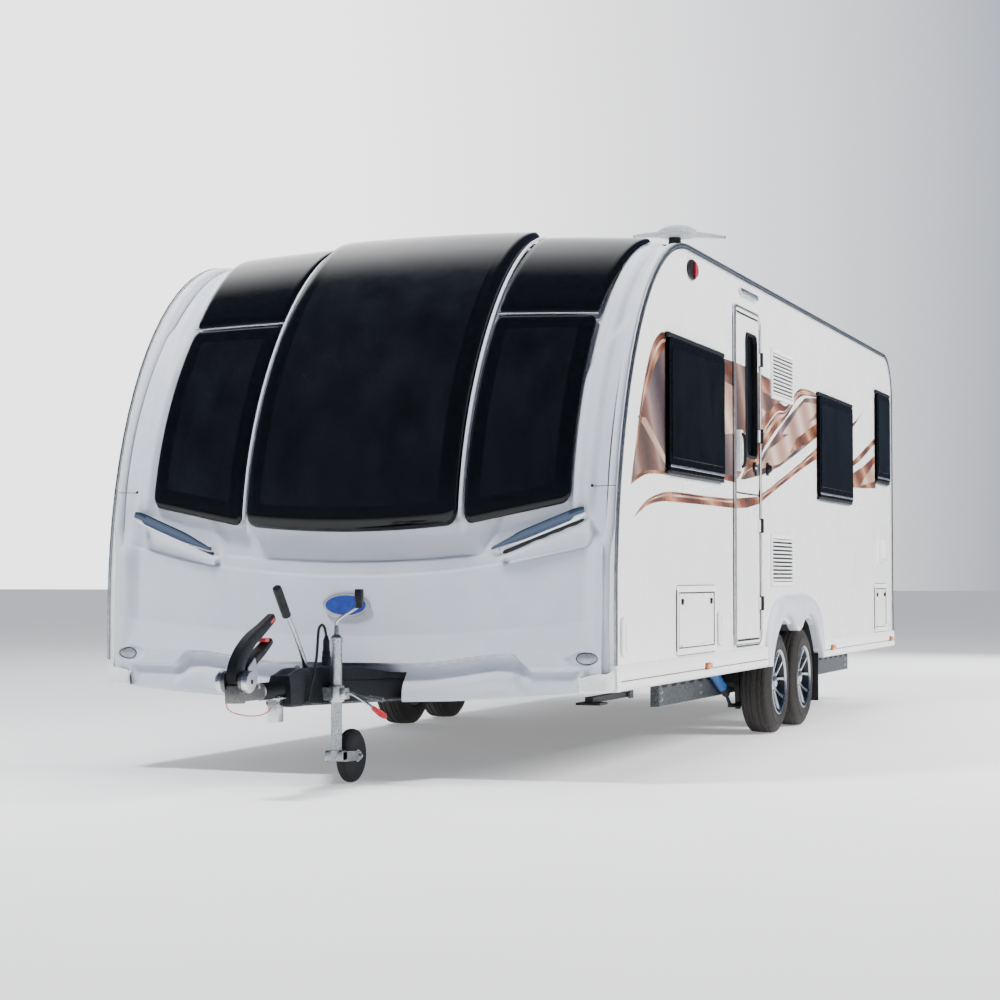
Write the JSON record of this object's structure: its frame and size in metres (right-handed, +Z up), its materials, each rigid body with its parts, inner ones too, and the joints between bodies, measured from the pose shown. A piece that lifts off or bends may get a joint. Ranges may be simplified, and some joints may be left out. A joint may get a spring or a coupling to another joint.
{
  "type": "travel caravan",
  "caption": "Twin-axle touring caravan body with opening doors and lockers, free-turning road wheels, jockey wheel and corner steadies.",
  "frame": {"origin": "centre of the bounding box, on the ground plane under the wheels", "axes": "+Z up, +Y towards the rear of the caravan, +X towards the entrance door side"},
  "size_m": [2.51, 8.153, 2.612],
  "materials": {
    "galvanised": "matte",
    "floor_board": "matte",
    "wall_skin": "gloss",
    "roof_skin": "gloss",
    "gelcoat_rear": "gloss",
    "gelcoat_front": "gloss",
    "tinted_acrylic": "gloss",
    "white_plastic": "satin",
    "spat_plastic": "gloss",
    "skirt_plastic": "satin",
    "axle_steel": "satin",
    "cast_steel": "satin",
    "black_plastic": "satin",
    "chrome": "gloss",
    "lamp_lens": "gloss",
    "roof_plastic": "satin",
    "rail_aluminium": "satin",
    "cable_rubber": "matte",
    "breakaway_red": "satin",
    "tyre_rubber": "matte",
    "alloy": "satin",
    "door_skin": "gloss",
    "steady_steel": "satin"
  },
  "bodies": {
    "caravan": {"chassis_frame": "galvanised", "drawbar": "galvanised", "floor_panel": "floor_board", "nearside_wall": "wall_skin", "offside_wall": "wall_skin", "roof_panel": "roof_skin", "rear_panel": "gelcoat_rear", "front_panel": "gelcoat_front", "front_windows": "tinted_acrylic", "front_roof_panels": "tinted_acrylic", "side_windows": "tinted_acrylic", "door_frame": "white_plastic", "wall_vents": "white_plastic", "wheel_spats": "spat_plastic", "side_skirts": "skirt_plastic", "axles": "axle_steel", "coupling_head": "cast_steel", "stabiliser_handle": "black_plastic", "handbrake_lever": "black_plastic", "drawbar_cover": "black_plastic", "grab_handles": "chrome", "road_lamps": "lamp_lens", "roof_fittings": "roof_plastic", "awning_rails": "rail_aluminium", "mudflaps": "cable_rubber", "tow_lead": "cable_rubber", "tow_plug": "cable_rubber", "breakaway_cable": "breakaway_red"},
    "wheel_front_near": {"tyre_front_near": "tyre_rubber", "rim_front_near": "alloy"},
    "wheel_rear_near": {"tyre_rear_near": "tyre_rubber", "rim_rear_near": "alloy"},
    "wheel_front_off": {"tyre_front_off": "tyre_rubber", "rim_front_off": "alloy"},
    "wheel_rear_off": {"tyre_rear_off": "tyre_rubber", "rim_rear_off": "alloy"},
    "door_upper_leaf": {"door_upper": "door_skin", "door_window": "tinted_acrylic"},
    "door_lower_leaf": {"door_lower": "door_skin"},
    "front_locker": {"front_locker_door": "door_skin"},
    "rear_locker": {"rear_locker_door": "door_skin"},
    "jockey_post": {"jockey_tube": "galvanised"},
    "jockey_castor": {"jockey_fork": "galvanised"},
    "jockey_roller": {"jockey_wheel": "tyre_rubber"},
    "front_near_steady": {"steady_front_near": "steady_steel"},
    "front_off_steady": {"steady_front_off": "steady_steel"},
    "rear_near_steady": {"steady_rear_near": "steady_steel"},
    "rear_off_steady": {"steady_rear_off": "steady_steel"}
  },
  "joints": [
    {"name": "wheel_front_near_spin", "type": "hinge", "parent": "caravan", "child": "wheel_front_near", "pos_m": [1.116, 0.4065, 0.291], "axis": [1, 0, 0], "continuous": true},
    {"name": "wheel_rear_near_spin", "type": "hinge", "parent": "caravan", "child": "wheel_rear_near", "pos_m": [1.116, 1.0825, 0.291], "axis": [1, 0, 0], "continuous": true},
    {"name": "wheel_front_off_spin", "type": "hinge", "parent": "caravan", "child": "wheel_front_off", "pos_m": [-1.116, 0.4065, 0.291], "axis": [1, 0, 0], "continuous": true},
    {"name": "wheel_rear_off_spin", "type": "hinge", "parent": "caravan", "child": "wheel_rear_off", "pos_m": [-1.116, 1.0825, 0.291], "axis": [1, 0, 0], "continuous": true},
    {"name": "door_upper_leaf_hinge", "type": "hinge", "parent": "caravan", "child": "door_upper_leaf", "pos_m": [1.243, -0.1895, 1.2], "axis": [0, 0, 1], "range_deg": [0, 170]},
    {"name": "door_lower_leaf_hinge", "type": "hinge", "parent": "caravan", "child": "door_lower_leaf", "pos_m": [1.243, -0.1895, 1.2], "axis": [0, 0, 1], "range_deg": [0, 170]},
    {"name": "front_locker_hinge", "type": "hinge", "parent": "caravan", "child": "front_locker", "pos_m": [1.233, -1.5285, 0.556], "axis": [0, 1, 0], "range_deg": [0, 110]},
    {"name": "rear_locker_hinge", "type": "hinge", "parent": "caravan", "child": "rear_locker", "pos_m": [1.233, 3.5655, 0.548], "axis": [0, 1, 0], "range_deg": [0, 110]},
    {"name": "jockey_lift", "type": "slide", "parent": "caravan", "child": "jockey_post", "axis": [0, 0, 1], "range_m": [0, 0.1]},
    {"name": "jockey_swivel", "type": "hinge", "parent": "jockey_post", "child": "jockey_castor", "pos_m": [0.126, -3.3395, 0.12], "axis": [0, 0, 1], "continuous": true},
    {"name": "jockey_roll", "type": "hinge", "parent": "jockey_castor", "child": "jockey_roller", "pos_m": [0.126, -3.1825, 0.114], "axis": [1, 0, 0], "continuous": true},
    {"name": "front_near_steady_hinge", "type": "hinge", "parent": "caravan", "child": "front_near_steady", "pos_m": [0.81, -1.3495, 0.3], "axis": [1, 0, 0], "range_deg": [0, 26]},
    {"name": "front_off_steady_hinge", "type": "hinge", "parent": "caravan", "child": "front_off_steady", "pos_m": [-0.81, -1.3495, 0.3], "axis": [1, 0, 0], "range_deg": [0, 26]},
    {"name": "rear_near_steady_hinge", "type": "hinge", "parent": "caravan", "child": "rear_near_steady", "pos_m": [0.81, 2.8505, 0.3], "axis": [-1, 0, 0], "range_deg": [0, 26]},
    {"name": "rear_off_steady_hinge", "type": "hinge", "parent": "caravan", "child": "rear_off_steady", "pos_m": [-0.81, 2.8505, 0.3], "axis": [-1, 0, 0], "range_deg": [0, 26]}
  ]
}
